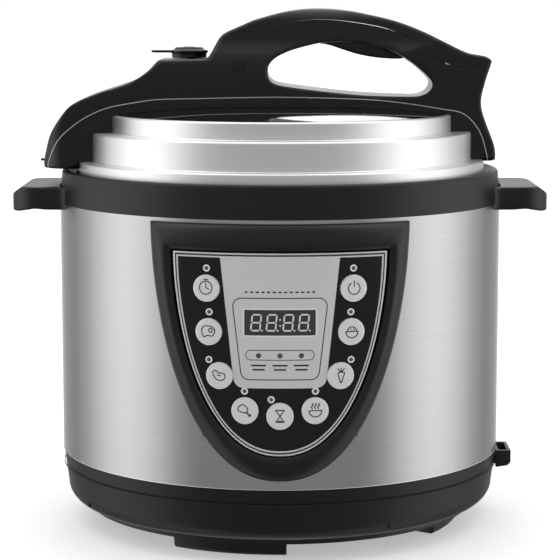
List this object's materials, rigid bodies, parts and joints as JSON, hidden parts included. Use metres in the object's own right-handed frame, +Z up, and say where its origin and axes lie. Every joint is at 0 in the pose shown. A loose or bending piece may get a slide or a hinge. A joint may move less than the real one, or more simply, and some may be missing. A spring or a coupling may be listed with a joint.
{
  "type": "electric pressure cooker",
  "caption": "Round electric pressure cooker with a shield-shaped button panel, tiered steel lid locked by a turn, arched lid handle with a release lever, and two side handles.",
  "frame": {"origin": "centre of the footprint on the surface it stands on", "axes": "+Z up, -Y towards the control panel, X along the lid's handle and through the side handles"},
  "size_m": [0.332, 0.2903, 0.3158],
  "materials": {
    "black_plastic": "satin moulded",
    "gloss_black": "semi-gloss moulded",
    "brushed_sheet": "brushed across",
    "lid_steel": "satin, polished dome",
    "screw_steel": "bright",
    "cast_alloy": "plain",
    "pot_coating": "non-stick coating",
    "silver_plastic": "silver lacquer",
    "smoked_window": "smoked",
    "board": "laminate",
    "part_plastic": "plain",
    "clear_plastic": "clear",
    "smoke_cup": "clear grey",
    "silicone": "soft",
    "red_plastic": "plain"
  },
  "bodies": {
    "root": {"bottom_cover": "black_plastic", "base_shell": "black_plastic", "foot_1": "black_plastic", "foot_2": "black_plastic", "foot_3": "black_plastic", "foot_4": "black_plastic", "base_screws": "screw_steel", "body_sheet": "brushed_sheet", "upper_ring": "black_plastic", "handle_left": "black_plastic", "handle_right": "black_plastic", "handle_screws": "screw_steel", "outer_pot": "cast_alloy", "heating_plate": "cast_alloy", "heating_element": "cast_alloy", "spring_plate": "screw_steel", "pressure_switch": "part_plastic", "thermostat": "cast_alloy", "sensor_spring": "screw_steel", "power_board": "board", "power_parts": "part_plastic", "power_inlet": "black_plastic", "inlet_pins": "screw_steel", "control_bezel": "gloss_black", "panel_face": "gloss_black", "panel_trim": "silver_plastic", "display_window": "smoked_window", "display_module": "part_plastic", "control_board": "board", "key_switches": "part_plastic", "light_pipes": "clear_plastic", "panel_screws": "screw_steel", "collector_bracket": "black_plastic", "spoon_holder": "black_plastic"},
    "sensor": {"thermal_sensor": "cast_alloy"},
    "collector": {"condensation_collector": "smoke_cup"},
    "button_timer": {"button_timer": "silver_plastic"},
    "button_meat": {"button_meat": "silver_plastic"},
    "button_beans": {"button_beans": "silver_plastic"},
    "button_chicken": {"button_chicken": "silver_plastic"},
    "button_time_set": {"button_time_set": "silver_plastic"},
    "button_soup": {"button_soup": "silver_plastic"},
    "button_vegetables": {"button_vegetables": "silver_plastic"},
    "button_rice": {"button_rice": "silver_plastic"},
    "button_keep_warm": {"button_keep_warm": "silver_plastic"},
    "pot": {"inner_pot": "pot_coating"},
    "lid_seal": {"sealing_ring": "silicone", "ring_support": "screw_steel"},
    "lid": {"lid_shell": "lid_steel", "bridge_base": "gloss_black", "bridge_cover": "gloss_black", "grip_cover": "gloss_black", "lid_screws": "screw_steel", "lever_pin": "screw_steel", "vent_pipe": "screw_steel"},
    "lever": {"release_lever": "gloss_black"},
    "rod": {"latch_rod": "screw_steel"},
    "valve": {"steam_valve": "gloss_black"},
    "float": {"float_pin": "red_plastic", "float_seal": "silicone"}
  },
  "joints": [
    {"name": "pot_lift", "type": "slide", "parent": "root", "child": "pot", "axis": [0, 0, 1], "range_m": [0, 0.2]},
    {"name": "lid_lift", "type": "slide", "parent": "pot", "child": "lid_seal", "axis": [0, 0, 1], "range_m": [0, 0.15]},
    {"name": "lid_turn", "type": "hinge", "parent": "lid_seal", "child": "lid", "pos_m": [0, 0, 0.2181], "axis": [0, 0, 1], "range_deg": [0, 30]},
    {"name": "release_turn", "type": "hinge", "parent": "lid", "child": "lever", "pos_m": [0.02405, 0, 0.2995], "axis": [0, -1, 0], "range_deg": [0, 7], "stiffness_Nm_per_rad": 0.5, "springref_deg": -5.73},
    {"name": "latch_slide", "type": "slide", "parent": "lid", "child": "rod", "axis": [-1, 0, 0], "range_m": [0, 0.0007]},
    {"name": "valve_turn", "type": "hinge", "parent": "lid", "child": "valve", "pos_m": [-0.05602, 0, 0.288], "axis": [0, 0, 1], "range_deg": [0, 45]},
    {"name": "float_lift", "type": "slide", "parent": "lid", "child": "float", "axis": [0, 0, 1], "range_m": [0, 0.004]},
    {"name": "sensor_press", "type": "slide", "parent": "root", "child": "sensor", "axis": [0, 0, 1], "range_m": [-0.0025, 0], "stiffness_N_per_m": 300, "springref_m": 0.003, "deforming": ["sensor_spring"]},
    {"name": "collector_pull", "type": "slide", "parent": "root", "child": "collector", "axis": [0, 1, 0], "range_m": [0, 0.02]},
    {"name": "press_timer", "type": "slide", "parent": "root", "child": "button_timer", "axis": [0.2908, 0.9568, 0], "range_m": [0, 0.001], "stiffness_N_per_m": 150, "springref_m": -0.002},
    {"name": "press_meat", "type": "slide", "parent": "root", "child": "button_meat", "axis": [0.2822, 0.9594, 0], "range_m": [0, 0.001], "stiffness_N_per_m": 150, "springref_m": -0.002},
    {"name": "press_beans", "type": "slide", "parent": "root", "child": "button_beans", "axis": [0.2402, 0.9707, 0], "range_m": [0, 0.001], "stiffness_N_per_m": 150, "springref_m": -0.002},
    {"name": "press_chicken", "type": "slide", "parent": "root", "child": "button_chicken", "axis": [0.1391, 0.9903, 0], "range_m": [0, 0.001], "stiffness_N_per_m": 150, "springref_m": -0.002},
    {"name": "press_time_set", "type": "slide", "parent": "root", "child": "button_time_set", "axis": [0, 1, 0], "range_m": [0, 0.001], "stiffness_N_per_m": 150, "springref_m": -0.002},
    {"name": "press_soup", "type": "slide", "parent": "root", "child": "button_soup", "axis": [-0.1391, 0.9903, 0], "range_m": [0, 0.001], "stiffness_N_per_m": 150, "springref_m": -0.002},
    {"name": "press_vegetables", "type": "slide", "parent": "root", "child": "button_vegetables", "axis": [-0.2402, 0.9707, 0], "range_m": [0, 0.001], "stiffness_N_per_m": 150, "springref_m": -0.002},
    {"name": "press_rice", "type": "slide", "parent": "root", "child": "button_rice", "axis": [-0.2822, 0.9594, 0], "range_m": [0, 0.001], "stiffness_N_per_m": 150, "springref_m": -0.002},
    {"name": "press_keep_warm", "type": "slide", "parent": "root", "child": "button_keep_warm", "axis": [-0.2908, 0.9568, 0], "range_m": [0, 0.001], "stiffness_N_per_m": 150, "springref_m": -0.002}
  ],
  "couplings": [
    {"joint": "latch_slide", "follows": "release_turn", "m_per_rad": 0.0049}
  ]
}
